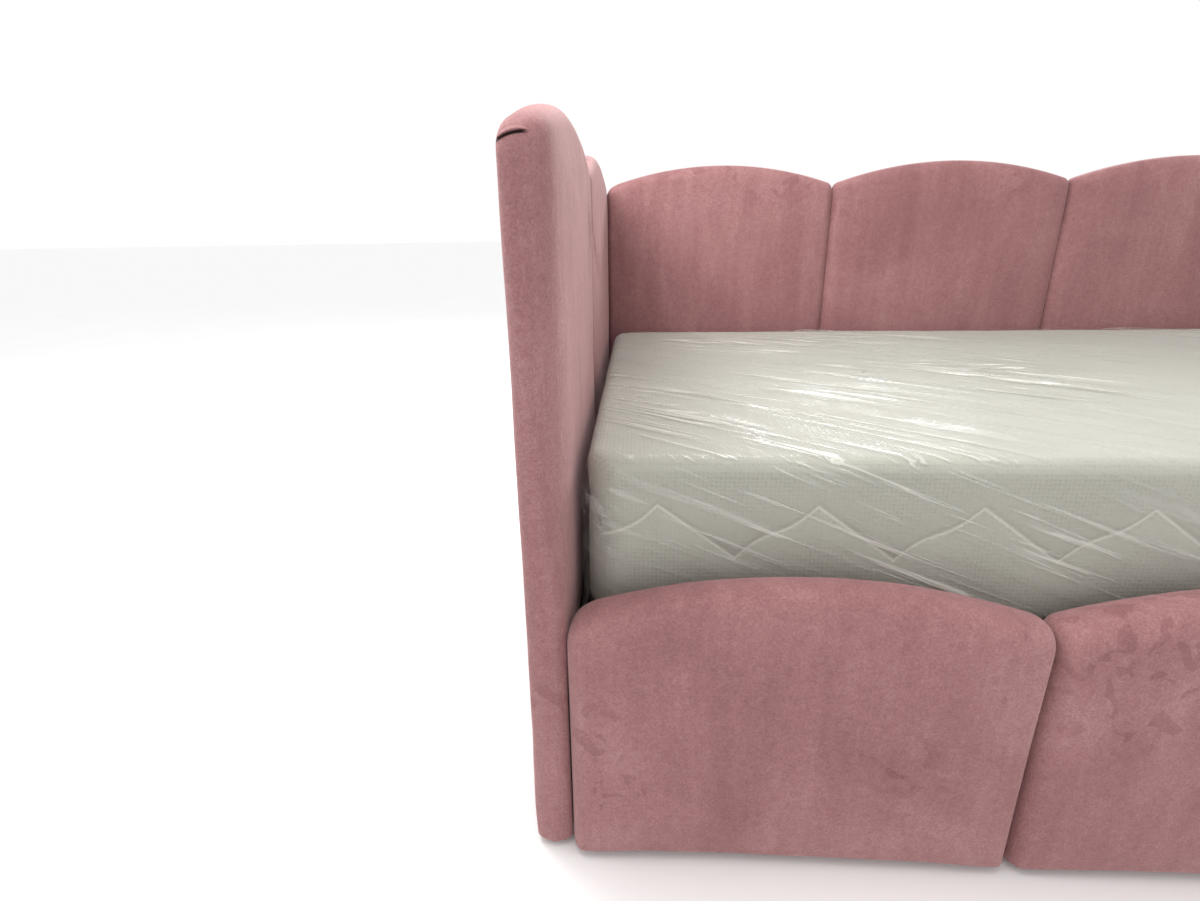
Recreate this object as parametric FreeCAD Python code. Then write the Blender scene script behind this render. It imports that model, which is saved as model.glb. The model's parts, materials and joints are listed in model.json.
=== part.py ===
import FreeCAD, Part
import math
import os

from FreeCAD import Placement, Rotation, Vector

# A velvet daybed with scalloped "shell" panels on three sides, a low scalloped front panel and a
# storage box under a lifting slatted platform.  Millimetres.  The origin is on the floor under the
# middle of the bed; the open front faces -Y, the tall back stands at +Y and +Z is up.

# ---- driving dimensions -------------------------------------------------------------------------

# mattress
mattress_length = 2000.0
mattress_width = 900.0
mattress_height = 200.0
mattress_plan_radius = 45.0
mattress_edge_radius = 18.0
film_thickness = 0.8
film_gap = 0.3

# padded panels
end_gap = 20.0              # mattress end to the padding of an end panel
side_gap = 20.0             # mattress side to the padding of the front and of the back
core_thickness = 16.0
tall_pad = 14.0             # padding on each face of the back and of the end panels
front_outer_pad = 24.0
front_inner_pad = 20.0
end_recess = 13.5           # front edge of an end panel behind the face of the front panel
tall_peak = 850.0
tall_valley = 806.0
front_peak = 368.0
front_valley = 324.0
long_lobes = 4
end_lobes = 2
lobe_corner_radius = 18.0
lobe_edge_radius = 12.0
seam_gap = 0.4
panel_gap = 2.0             # front and back panels to the end panels they stand between
soft_gap = 0.3              # padding to whatever it wraps or meets
overshoot = 1.0             # a cutting shape reaches this far past what it cuts
level = 0.01                # an edge that rises or runs less than this lies flat

# storage box
glide_height = 8.0
glide_radius = 15.0
end_board_thickness = 22.0
long_board_thickness = 16.0
batten_height = 31.0
batten_width = 50.0
batten_count = 5
batten_end_gap = 200.0      # middle of the outermost batten to the end of the box
glide_count = 5             # in each row
glide_end_gap = 30.0
floor_thickness = 6.0
floor_gap = 0.5
ledge_depth = 60.0
ledge_height = 26.0
buffer_thickness = 6.0
buffer_radius = 10.0
buffer_count = 4            # on each ledge
buffer_reach = 0.9          # of half the platform's length
bracket_leg = 60.0
bracket_height = 110.0
bracket_low = 65.0
bracket_thickness = 3.0
bracket_bolt_inset = 20.0

# lifting platform
platform_low = 232.0
tube_width = 40.0
tube_height = 30.0
tube_wall = 2.0
platform_end_gap = 50.0     # platform to the padding of an end panel
platform_side_gap = 35.0    # platform to the padding of the front and of the back
cross_tubes = 2
slat_count = 15
slat_width = 53.0
slat_thickness = 8.0
slat_bow = 8.6
slat_end_inset = 7.0
holder_base = 4.0
holder_wall = 4.0
holder_depth = 38.0
stop_thickness = 4.0
stop_width = 120.0
stop_height = 108.0
stop_gap = 1.4
stop_foot_inset = 3.0       # foot of a stop from the tube's lower and upper edges

# lift mechanism, one set at each end: a four-bar with a gas strut
arm_length = 250.0
arm_rest_angle = 30.0
lift_angle = 50.0
tilt_angle = 30.0
pivot_spacing = 100.0       # between the two pivots on the platform
rear_pivot_inset = 143.0    # rear pivot to the rear edge of the platform
strut_arm_radius = 110.0
strut_base_back = 280.0     # fixed eye of the strut behind the main arm's base pivot
strut_base_drop = 60.0
base_plate_thickness = 3.0
top_plate_thickness = 3.0
arm_thickness = 4.0
arm_gap = 3.0               # between neighbouring flat pieces of the mechanism
arm_half_width = 15.0
idler_half_width = 12.5
plate_margin = 16.0
plate_bolt_step = 90.0      # a plate bolt to the pivot beside it
plate_trim = 2.0
top_plate_overhang = 4.0
pin_radius = 5.0
pin_clearance = 0.25
head_radius = 9.0
head_height = 1.9
spacer_radius = 8.0
axial_gap = 0.3
open_pivot_gap = 0.4
strut_radius = 9.0
strut_bore = 6.8
strut_neck_radius = 6.0
strut_gap = 2.0             # strut to the idler arm beside it
strut_body = 160.0
strut_body_start = 16.0
strut_cap = 4.0
rod_radius = 4.0
piston_radius = 6.4
piston_length = 10.0
piston_rest = 60.0
eye_half_length = 7.0

# bolts
bolt_radius = 3.0
bolt_clearance = 0.2
bolt_head_radius = 6.0
bolt_head_height = 2.4
bolt_hole_extra = 0.5
panel_bolt_bite = 12.0
long_panel_bolts = 4
long_bolt_reach = 0.75      # of half the box's length
end_panel_bolts = 3
end_bolt_front = 120.0      # first end bolt behind the front board
end_bolt_rear = 90.0        # last end bolt before the rear board
end_bolt_drop = 12.0        # end bolts below the ledges

# ---- places worked out from them ----------------------------------------------------------------

tall_thickness = 2 * tall_pad + core_thickness
front_thickness = front_outer_pad + core_thickness + front_inner_pad
inner_half_length = mattress_length / 2 + end_gap
half_length = inner_half_length + tall_thickness
half_depth = (front_thickness + mattress_width + 2 * side_gap + tall_thickness) / 2
front_face = -half_depth + front_thickness
back_face = half_depth - tall_thickness
middle_y = (front_face + back_face) / 2

end_core_face = inner_half_length + tall_pad
front_core_face = -half_depth + front_outer_pad + core_thickness
back_core_face = half_depth - tall_pad - core_thickness
box_half_length = end_core_face - end_board_thickness
box_front = front_core_face + long_board_thickness
box_back = back_core_face - long_board_thickness
pad_low = platform_low - 2.0
board_top = pad_low - 0.5
floor_top = glide_height + batten_height + floor_thickness
ledge_top = platform_low - axial_gap - buffer_thickness

platform_half = inner_half_length - platform_end_gap
platform_front = front_face + platform_side_gap
platform_back = back_face - platform_side_gap
platform_top = platform_low + tube_height
slat_low = platform_top + holder_base
slat_crown = slat_low + slat_thickness + slat_bow
mattress_low = slat_crown + soft_gap + film_thickness + film_gap

base_plate_x = box_half_length - base_plate_thickness
main_arm_outer = base_plate_x - arm_gap
main_arm_inner = main_arm_outer - arm_thickness
idler_outer = main_arm_inner - arm_gap
idler_inner = idler_outer - arm_thickness
strut_x = idler_inner - strut_gap - strut_radius
top_plate_x = platform_half + top_plate_thickness


def polar(length, degrees):
    """A step of this length in the YZ plane, at this angle above +Y."""
    angle = math.radians(degrees)
    return Vector(0, length * math.cos(angle), length * math.sin(angle))


def equidistant_base(first, last):
    """The point at the height z = 0 that lies equally far from both points."""
    middle = (first + last) * 0.5
    chord = last - first
    return Vector(0, middle.y + middle.z * chord.z / chord.y, 0)


rear_pivot = Vector(0, platform_back - rear_pivot_inset, platform_low + tube_height / 2)
arm_base = rear_pivot - polar(arm_length, arm_rest_angle)
front_pivot = rear_pivot - Vector(0, pivot_spacing, 0)
raised_rear_pivot = arm_base + polar(arm_length, arm_rest_angle + lift_angle)
raised_front_pivot = raised_rear_pivot - polar(pivot_spacing, -tilt_angle)
idler_base = arm_base + equidistant_base(front_pivot - arm_base, raised_front_pivot - arm_base)
strut_base = arm_base + Vector(0, strut_base_back, -strut_base_drop)
strut_top = arm_base + polar(strut_arm_radius, arm_rest_angle)

SIDES = {"left": -1, "right": 1}


# ---- helpers ------------------------------------------------------------------------------------

def export(name, *solids):
    """Write one node; several solids become a group of separate pieces."""
    shape = solids[0] if len(solids) == 1 else Part.makeCompound(list(solids))
    shape.exportStep("parts/%s.step" % name)


def block(x0, x1, y0, y1, z0, z1):
    """A box between two values on each axis, given in either order."""
    low = Vector(min(x0, x1), min(y0, y1), min(z0, z1))
    return Part.makeBox(abs(x1 - x0), abs(y1 - y0), abs(z1 - z0), low)


def cylinder(start, end, radius):
    step = end - start
    return Part.makeCylinder(radius, step.Length, start, step)


def spread(low, high, count):
    """Evenly spaced values from low to high, both included."""
    return [low + (high - low) * i / (count - 1) for i in range(count)]


def at_x(point, x):
    return Vector(x, point.y, point.z)


def cut_all(shape, tools):
    for tool in tools:
        shape = shape.cut(tool)
    return shape


def tube_along_x(x0, x1, y0, z0):
    outer = block(x0, x1, y0, y0 + tube_width, z0, z0 + tube_height)
    hollow = block(x0 - overshoot, x1 + overshoot, y0 + tube_wall, y0 + tube_width - tube_wall,
                   z0 + tube_wall, z0 + tube_height - tube_wall)
    return outer.cut(hollow)


def tube_along_y(y0, y1, x0, z0):
    outer = block(x0, x0 + tube_width, y0, y1, z0, z0 + tube_height)
    hollow = block(x0 + tube_wall, x0 + tube_width - tube_wall,
                   y0 - overshoot, y1 + overshoot, z0 + tube_wall, z0 + tube_height - tube_wall)
    return outer.cut(hollow)


class Bolt:
    """A bolt whose head sits on a face at `seat` and whose shank runs along `direction`."""

    def __init__(self, seat, direction, length):
        self.seat = seat
        self.direction = Vector(direction)
        self.length = length

    def solid(self):
        shank = cylinder(self.seat, self.seat + self.direction * self.length, bolt_radius)
        head_end = self.seat - self.direction * bolt_head_height
        return cylinder(head_end, self.seat, bolt_head_radius).fuse(shank).removeSplitter()

    def hole(self):
        start = self.seat - self.direction
        end = self.seat + self.direction * (self.length + bolt_hole_extra)
        return cylinder(start, end, bolt_radius + bolt_clearance)


# ---- scalloped panels ---------------------------------------------------------------------------

class Panel:
    """An upholstered panel in its own frame: u along it, v inward from its outer face, z up."""

    def __init__(self, start, end, lobes, peak, valley, outer_pad, inner_pad, place, end_trim,
                 board):
        self.start, self.end, self.lobes = start, end, lobes
        self.peak, self.inner_pad = peak, inner_pad
        self.board = board      # where the storage board behind it starts and ends, along u
        self.core_outer = outer_pad
        self.core_inner = outer_pad + core_thickness
        self.thickness = self.core_inner + inner_pad
        self.pitch = (end - start) / lobes
        sagitta = peak - valley
        self.radius = (self.pitch ** 2 / 4 + sagitta ** 2) / (2 * sagitta)
        self.place = place
        self.end_trim = end_trim

    def height(self, index, u, inset):
        """Height of one lobe's arc at u, lowered everywhere by `inset` along its normal."""
        middle = self.start + (index + 0.5) * self.pitch
        radius = self.radius - inset
        return self.peak - self.radius + math.sqrt(radius ** 2 - (u - middle) ** 2)

    def slab(self, left, right, inset, v0, v1, bottom):
        """The scalloped outline between left and right, as a slab from v0 to v1."""
        edges = []
        for index in range(self.lobes):
            low = max(left, self.start + index * self.pitch)
            high = min(right, self.start + (index + 1) * self.pitch)
            if high > low:
                ends = [Vector(u, v0, self.height(index, u, inset))
                        for u in (low, (low + high) / 2, high)]
                edges.append(Part.Arc(*ends).toShape())
        first = edges[0].Vertexes[0].Point
        last = edges[-1].Vertexes[-1].Point
        corners = [last, Vector(right, v0, bottom), Vector(left, v0, bottom), first]
        edges += [Part.LineSegment(a, b).toShape() for a, b in zip(corners, corners[1:])]
        face = Part.Face(Part.Wire(edges))
        return face.extrude(Vector(0, v1 - v0, 0))

    def core(self, grow=0.0):
        """The board inside the padding, or the hollow it sits in when grown."""
        inset = self.inner_pad
        return self.slab(self.start + inset - grow, self.end - inset + grow, inset - grow,
                         self.core_outer - grow, self.core_inner + grow, glide_height - grow)

    def lobe(self, index):
        """One padded lobe: a sleeve over the board, closed below only on the outer side."""
        left = self.start + index * self.pitch + seam_gap / 2
        right = left + self.pitch - seam_gap
        if index == 0:
            left = self.start + self.end_trim
        if index == self.lobes - 1:
            right = self.end - self.end_trim
        body = self.slab(left, right, 0.0, 0.0, self.thickness, glide_height)
        corners = [edge for edge in body.Edges
                   if edge.BoundBox.YLength > self.core_inner
                   and edge.BoundBox.ZMin > glide_height + level]
        body = body.makeFillet(lobe_corner_radius, corners)
        rims = [edge for edge in body.Edges
                if edge.BoundBox.YLength < level and edge.BoundBox.ZMax > glide_height + level]
        body = body.makeFillet(lobe_edge_radius, rims)
        below = block(self.board[0] - soft_gap, self.board[1] + soft_gap,
                      self.core_inner - soft_gap, self.thickness + overshoot,
                      glide_height - overshoot, pad_low)
        return cut_all(body, [self.core(soft_gap), below])

    def placed(self, shape):
        shape.Placement = self.place
        return shape


def turned(degrees, x, y):
    return Placement(Vector(x, y, 0), Rotation(Vector(0, 0, 1), degrees))


def make_panels():
    front_end = half_depth - end_recess
    tall = {"peak": tall_peak, "valley": tall_valley, "outer_pad": tall_pad,
            "inner_pad": tall_pad}
    low = {"peak": front_peak, "valley": front_valley, "outer_pad": front_outer_pad,
           "inner_pad": front_inner_pad}
    span = inner_half_length
    whole = (-end_core_face, end_core_face)
    return {
        "back": Panel(-span, span, long_lobes, place=turned(180, 0, half_depth),
                      end_trim=panel_gap, board=whole, **tall),
        "left": Panel(-half_depth, front_end, end_lobes, place=turned(-90, -half_length, 0),
                      end_trim=0.0, board=(-back_core_face, -front_core_face), **tall),
        "right": Panel(-front_end, half_depth, end_lobes, place=turned(90, half_length, 0),
                       end_trim=0.0, board=(front_core_face, back_core_face), **tall),
        "front": Panel(-span, span, long_lobes, place=turned(0, 0, -half_depth),
                       end_trim=panel_gap, board=whole, **low),
    }


LOBE_NAMES = {
    "back": ["back_lobe_%d" % (long_lobes - i) for i in range(long_lobes)],
    "front": ["front_lobe_%d" % (i + 1) for i in range(long_lobes)],
    "left": ["left_lobe_rear", "left_lobe_front"],
    "right": ["right_lobe_front", "right_lobe_rear"],
}


def export_panels(bolts):
    holes = [bolt.hole() for bolt in bolts]
    for side, panel in make_panels().items():
        core = panel.placed(panel.core())
        export("%s_core_board" % side, cut_all(core, holes))
        for index, name in enumerate(LOBE_NAMES[side]):
            export(name, panel.placed(panel.lobe(index)))


# ---- storage box --------------------------------------------------------------------------------

def panel_bolts():
    """Bolts from inside the box through its boards into the panels' boards."""
    bolts = []
    long_length = long_board_thickness + panel_bolt_bite
    end_length = end_board_thickness + panel_bolt_bite
    long_z = (floor_top + ledge_top) / 2
    end_z = ledge_top - ledge_height - end_bolt_drop
    reach = long_bolt_reach * box_half_length
    for x in spread(-reach, reach, long_panel_bolts):
        bolts.append(Bolt(Vector(x, box_front, long_z), Vector(0, -1, 0), long_length))
        bolts.append(Bolt(Vector(x, box_back, long_z), Vector(0, 1, 0), long_length))
    for y in spread(box_front + end_bolt_front, box_back - end_bolt_rear, end_panel_bolts):
        for side in SIDES.values():
            seat = Vector(side * box_half_length, y, end_z)
            bolts.append(Bolt(seat, Vector(side, 0, 0), end_length))
    return bolts


def corner_brackets():
    """Steel angles in the four corners of the box, and the bolts that hold them."""
    brackets, bolts = [], []
    high = bracket_low + bracket_height
    for side in SIDES.values():
        for wall_y, inward in ((box_front, 1), (box_back, -1)):
            wall_x = side * box_half_length
            far_x = wall_x - side * bracket_leg
            far_y = wall_y + inward * bracket_leg
            leg_x = block(wall_x, far_x, wall_y, wall_y + inward * bracket_thickness,
                          bracket_low, high)
            leg_y = block(wall_x, wall_x - side * bracket_thickness, wall_y, far_y,
                          bracket_low, high)
            own = []
            for z in (bracket_low + bracket_bolt_inset, high - bracket_bolt_inset):
                seat = Vector(far_x + side * bracket_bolt_inset,
                              wall_y + inward * bracket_thickness, z)
                own.append(Bolt(seat, Vector(0, -inward, 0), long_board_thickness))
                seat = Vector(wall_x - side * bracket_thickness,
                              far_y - inward * bracket_bolt_inset, z)
                own.append(Bolt(seat, Vector(side, 0, 0), end_board_thickness))
            angle = leg_x.fuse(leg_y).removeSplitter()
            brackets.append(cut_all(angle, [bolt.hole() for bolt in own]))
            bolts += own
    return brackets, bolts


def export_box(bolts):
    holes = [bolt.hole() for bolt in bolts]
    long_x = box_half_length
    boards = {
        "box_front_board": block(-long_x, long_x, front_core_face, box_front,
                                 glide_height, board_top),
        "box_rear_board": block(-long_x, long_x, box_back, back_core_face,
                                glide_height, board_top),
    }
    for name, side in SIDES.items():
        boards["box_%s_board" % name] = block(
            side * box_half_length, side * end_core_face, front_core_face, back_core_face,
            glide_height, board_top)
    for name, board in boards.items():
        export(name, cut_all(board, holes))

    for name, side in SIDES.items():
        export("floor_panel_%s" % name, block(
            side * floor_gap, side * (box_half_length - floor_gap), box_front + floor_gap,
            box_back - floor_gap, floor_top - floor_thickness, floor_top))
    batten_reach = box_half_length - batten_end_gap
    batten_x = spread(-batten_reach, batten_reach, batten_count)
    export("floor_battens", *[
        block(x - batten_width / 2, x + batten_width / 2, box_front, box_back,
              glide_height, glide_height + batten_height) for x in batten_x])

    export("front_ledge", block(-long_x, long_x, box_front, box_front + ledge_depth,
                                ledge_top - ledge_height, ledge_top))
    export("rear_ledge", block(-long_x, long_x, box_back - ledge_depth, box_back,
                               ledge_top - ledge_height, ledge_top))
    buffer_y = (platform_front + buffer_radius, platform_back - buffer_radius)
    reach = buffer_reach * platform_half
    buffers = []
    for x in spread(-reach, reach, buffer_count):
        for y in buffer_y:
            buffers.append(Part.makeCylinder(buffer_radius, buffer_thickness,
                                             Vector(x, y, ledge_top)))
    export("ledge_buffers", *buffers)

    glide_reach = box_half_length - glide_end_gap
    glide_x = spread(-glide_reach, glide_reach, glide_count)
    seats = [(x, y) for x in glide_x for y in (front_core_face, back_core_face)]
    seats += [(x, middle_y) for x in batten_x]
    export("floor_glides", *[
        Part.makeCylinder(glide_radius, glide_height, Vector(x, y, 0)) for x, y in seats])


# ---- lifting platform ---------------------------------------------------------------------------

def slat(x):
    """A sprung slat across the platform, bowed up in the middle."""
    y0 = platform_front + slat_end_inset
    y1 = platform_back - slat_end_inset

    def bowed(z):
        return Part.Arc(Vector(x, y0, z), Vector(x, middle_y, z + slat_bow), Vector(x, y1, z))

    top = slat_low + slat_thickness
    edges = [
        bowed(slat_low).toShape(),
        Part.LineSegment(Vector(x, y1, slat_low), Vector(x, y1, top)).toShape(),
        bowed(top).toShape(),
        Part.LineSegment(Vector(x, y0, top), Vector(x, y0, slat_low)).toShape(),
    ]
    face = Part.Face(Part.Wire(Part.__sortEdges__(edges)))
    face.translate(Vector(-slat_width / 2, 0, 0))
    return face.extrude(Vector(slat_width, 0, 0))


def slat_holder(x, y0, inward):
    """A plastic cap on the frame that takes one end of a slat."""
    span = (platform_back - platform_front) / 2 - slat_end_inset
    rise = slat_bow * (1 - (1 - holder_depth / span) ** 2)
    half = slat_width / 2 + soft_gap
    roof = slat_low + slat_thickness + rise + soft_gap
    cap = block(x - half - holder_wall, x + half + holder_wall, y0, y0 + inward * holder_depth,
                platform_top, roof + holder_wall / 2)
    pocket = block(x - half, x + half, y0 + inward * (slat_end_inset - 2 * soft_gap),
                   y0 + inward * (holder_depth + overshoot), slat_low - soft_gap, roof)
    return cap.cut(pocket)


def mattress_stop(x):
    """A bent strip on the rear tube that keeps the mattress from sliding back when raised."""
    foot = stop_thickness
    low = platform_low + stop_foot_inset
    shelf = platform_top - stop_foot_inset
    stop_y = middle_y + mattress_width / 2 + film_gap + film_thickness + stop_gap
    x0, x1 = x - stop_width / 2, x + stop_width / 2
    parts = [
        block(x0, x1, platform_back, platform_back + foot, low, shelf),
        block(x0, x1, platform_back, stop_y + foot, shelf - foot, shelf),
        block(x0, x1, stop_y, stop_y + foot, shelf - foot, low + stop_height),
    ]
    return parts[0].multiFuse(parts[1:]).removeSplitter()


def soft_block(grow):
    """The mattress outline with rounded corners and edges, grown evenly by `grow`."""
    length = mattress_length + 2 * grow
    width = mattress_width + 2 * grow
    body = Part.makeBox(length, width, mattress_height + 2 * grow,
                        Vector(-length / 2, middle_y - width / 2, mattress_low - grow))
    uprights = [edge for edge in body.Edges if edge.BoundBox.ZLength > level]
    body = body.makeFillet(mattress_plan_radius + grow, uprights)
    rims = [edge for edge in body.Edges if edge.BoundBox.ZLength < level]
    return body.makeFillet(mattress_edge_radius + grow, rims)


def export_platform():
    half = platform_half
    export("platform_front_tube", tube_along_x(-half, half, platform_front, platform_low))
    export("platform_rear_tube",
           tube_along_x(-half, half, platform_back - tube_width, platform_low))
    y0, y1 = platform_front + tube_width, platform_back - tube_width
    for name, side in SIDES.items():
        x0 = -half if side < 0 else half - tube_width
        export("platform_end_tube_%s" % name, tube_along_y(y0, y1, x0, platform_low))
    inner = spread(-half, half - tube_width, cross_tubes + 2)[1:-1]
    export("platform_cross_tubes", *[tube_along_y(y0, y1, x, platform_low) for x in inner])

    reach = half - slat_width
    slat_x = spread(-reach, reach, slat_count)
    export("slats", *[slat(x) for x in slat_x])
    holders = [slat_holder(x, platform_front, 1) for x in slat_x]
    holders += [slat_holder(x, platform_back, -1) for x in slat_x]
    export("slat_holders", *holders)
    export("mattress_stops", mattress_stop(-half / 2), mattress_stop(half / 2))

    mattress = soft_block(0.0)
    export("mattress", mattress)
    export("mattress_film", soft_block(film_gap + film_thickness).cut(soft_block(film_gap)))


# ---- lift mechanism -----------------------------------------------------------------------------

def flat_bar(start, end, half_width, side, inner, outer):
    """A round-ended flat bar between two pivots, from inner to outer along X."""
    step = end - start
    angle = math.degrees(math.atan2(step.z, step.y))
    bar = block(inner, outer, 0, step.Length, -half_width, half_width)
    for y in (0, step.Length):
        bar = bar.fuse(Part.makeCylinder(half_width, outer - inner, Vector(inner, y, 0),
                                         Vector(1, 0, 0)))
    bar = bar.removeSplitter()
    bar.Placement = Placement(at_x(start, 0), Rotation(Vector(1, 0, 0), angle))
    return bar if side > 0 else mirrored(bar)


def mirrored(shape):
    return shape.mirror(Vector(0, 0, 0), Vector(1, 0, 0))


def pivot_hole(point, side):
    reach = Vector(side * (half_length + overshoot), point.y, point.z)
    return cylinder(at_x(point, 0), reach, pin_radius + pin_clearance)


def headed_pin(point, side, seat, shoulder, end):
    """A pin from its plate inward: a wide spacer, the pin itself and a head."""
    spacer = cylinder(at_x(point, side * seat), at_x(point, side * shoulder), spacer_radius)
    pin = cylinder(at_x(point, side * seat), at_x(point, side * end), pin_radius)
    head = cylinder(at_x(point, side * end), at_x(point, side * (end - head_height)),
                    head_radius)
    return spacer.multiFuse([pin, head]).removeSplitter()


def base_plate(side):
    y0 = idler_base.y - plate_margin
    y1 = strut_base.y + plate_margin
    z0 = strut_base.z - plate_margin + plate_trim
    z1 = arm_base.z + plate_margin
    plate = block(side * base_plate_x, side * box_half_length, y0, y1, z0, z1)
    corners = [edge for edge in plate.Edges if edge.BoundBox.XLength > level]
    return plate.makeFillet(plate_margin / 2, corners)


def lift_plate_bolts():
    z_low = strut_base.z + plate_trim
    z_high = arm_base.z
    places = [(idler_base.y, z_low), (idler_base.y + plate_bolt_step, z_high),
              (arm_base.y + plate_bolt_step, z_high), (strut_base.y - plate_bolt_step, z_low)]
    return [Bolt(Vector(side * base_plate_x, y, z), Vector(side, 0, 0), end_board_thickness)
            for side in SIDES.values() for y, z in places]


def gas_strut(side):
    """Cylinder and rod of one strut, along the line between its two eyes."""
    start = at_x(strut_base, side * strut_x)
    end = at_x(strut_top, side * strut_x)
    along = (end - start).normalize()
    across = Vector(eye_half_length, 0, 0)

    def point(distance):
        return start + along * distance

    body_end = strut_body_start + strut_body
    body = cylinder(point(strut_body_start), point(body_end), strut_radius)
    eye = cylinder(start - across, start + across, strut_radius)
    neck = cylinder(start, point(strut_body_start + overshoot), strut_neck_radius)
    bore = cylinder(point(strut_body_start + strut_cap), point(body_end - strut_cap), strut_bore)
    mouth = cylinder(point(body_end - strut_cap - overshoot), point(body_end + overshoot),
                     rod_radius + pin_clearance)
    tube = body.multiFuse([eye, neck]).removeSplitter()
    tube = cut_all(tube, [bore, mouth, pivot_hole(strut_base, side)])

    stem = cylinder(point(piston_rest), end, rod_radius)
    piston = cylinder(point(piston_rest), point(piston_rest + piston_length), piston_radius)
    far_eye = cylinder(end - across, end + across, strut_radius)
    rod = stem.multiFuse([piston, far_eye]).removeSplitter()
    return tube, rod


def export_lift(plate_bolts):
    holes = [bolt.hole() for bolt in plate_bolts]
    base_pins, top_pins = [], []
    eye_outer = strut_x + eye_half_length
    eye_inner = strut_x - eye_half_length
    plate_reach = plate_margin + top_plate_overhang
    for name, side in SIDES.items():
        export("lift_base_plate_%s" % name, cut_all(base_plate(side), holes))

        arm = flat_bar(arm_base, rear_pivot, arm_half_width, side, main_arm_inner,
                       main_arm_outer)
        arm = cut_all(arm, [pivot_hole(arm_base, side), pivot_hole(rear_pivot, side)])
        stud = cylinder(at_x(strut_top, side * (eye_outer + open_pivot_gap)),
                        at_x(strut_top, side * main_arm_outer), pin_radius)
        export("main_arm_%s" % name, arm.fuse(stud).removeSplitter())

        idler = flat_bar(idler_base, front_pivot, idler_half_width, side, idler_inner,
                         idler_outer)
        rivet = cylinder(at_x(front_pivot, side * idler_inner),
                         at_x(front_pivot, side * (idler_outer + head_height)), head_radius)
        idler = idler.cut(pivot_hole(idler_base, side)).fuse(rivet).removeSplitter()
        export("idler_arm_%s" % name, idler)

        tube, rod = gas_strut(side)
        export("gas_cylinder_%s" % name, tube)
        export("gas_rod_%s" % name, rod)

        export("lift_top_plate_%s" % name, block(
            side * platform_half, side * top_plate_x, front_pivot.y - plate_reach,
            rear_pivot.y + plate_reach, platform_low + plate_trim, platform_top - plate_trim))

        base_pins += [
            headed_pin(arm_base, side, base_plate_x, main_arm_outer + axial_gap,
                       main_arm_inner - axial_gap),
            headed_pin(idler_base, side, base_plate_x, idler_outer + axial_gap,
                       idler_inner - axial_gap),
            headed_pin(strut_base, side, base_plate_x, eye_outer + axial_gap,
                       eye_inner - axial_gap),
        ]
        outer = main_arm_outer + axial_gap
        top_pin = [
            cylinder(at_x(rear_pivot, side * top_plate_x),
                     at_x(rear_pivot, side * (main_arm_inner - axial_gap)), spacer_radius),
            cylinder(at_x(rear_pivot, side * top_plate_x), at_x(rear_pivot, side * outer),
                     pin_radius),
            cylinder(at_x(rear_pivot, side * outer),
                     at_x(rear_pivot, side * (outer + head_height)), head_radius),
        ]
        top_pins.append(top_pin[0].multiFuse(top_pin[1:]).removeSplitter())
        top_pins.append(cylinder(
            at_x(front_pivot, side * top_plate_x),
            at_x(front_pivot, side * (idler_inner - open_pivot_gap)), spacer_radius))
    export("base_pivot_pins", *base_pins)
    export("top_pivot_pins", *top_pins)


# ---- the whole bed ------------------------------------------------------------------------------

os.makedirs("parts", exist_ok=True)

through_bolts = panel_bolts()
brackets, bracket_bolts = corner_brackets()
plate_bolts = lift_plate_bolts()

export_panels(through_bolts)
export_box(through_bolts + bracket_bolts + plate_bolts)
export("panel_bolts", *[bolt.solid() for bolt in through_bolts])
export("corner_brackets", *brackets)
export("corner_bolts", *[bolt.solid() for bolt in bracket_bolts])
export("lift_plate_bolts", *[bolt.solid() for bolt in plate_bolts])
export_platform()
export_lift(plate_bolts)
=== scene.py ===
import json
import math

import bmesh
import bpy
import numpy as np
from mathutils import Matrix, Vector
from mathutils.bvhtree import BVHTree


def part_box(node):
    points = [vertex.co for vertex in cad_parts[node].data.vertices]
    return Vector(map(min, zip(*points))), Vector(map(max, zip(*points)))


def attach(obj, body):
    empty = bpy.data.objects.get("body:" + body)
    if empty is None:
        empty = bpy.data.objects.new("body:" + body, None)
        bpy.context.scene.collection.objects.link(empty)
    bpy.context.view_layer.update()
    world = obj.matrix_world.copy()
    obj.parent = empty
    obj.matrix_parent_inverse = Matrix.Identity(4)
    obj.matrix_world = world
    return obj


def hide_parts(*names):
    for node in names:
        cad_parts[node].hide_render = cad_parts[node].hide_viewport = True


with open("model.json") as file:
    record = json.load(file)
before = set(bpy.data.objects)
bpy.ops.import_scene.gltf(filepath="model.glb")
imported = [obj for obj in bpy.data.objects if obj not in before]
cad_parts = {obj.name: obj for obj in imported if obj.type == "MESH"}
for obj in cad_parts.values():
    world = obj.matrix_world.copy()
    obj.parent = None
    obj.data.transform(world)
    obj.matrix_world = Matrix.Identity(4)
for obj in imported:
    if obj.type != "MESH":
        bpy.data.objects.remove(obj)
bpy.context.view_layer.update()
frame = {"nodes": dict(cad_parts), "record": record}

# The looks of a velvet daybed with scalloped panels: puffed velvet lobes, a quilted mattress in its
# clear packing film, and the steel, wood and plastic of the lifting platform.  Metres.

# ---- sizes --------------------------------------------------------------------------------------

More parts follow.
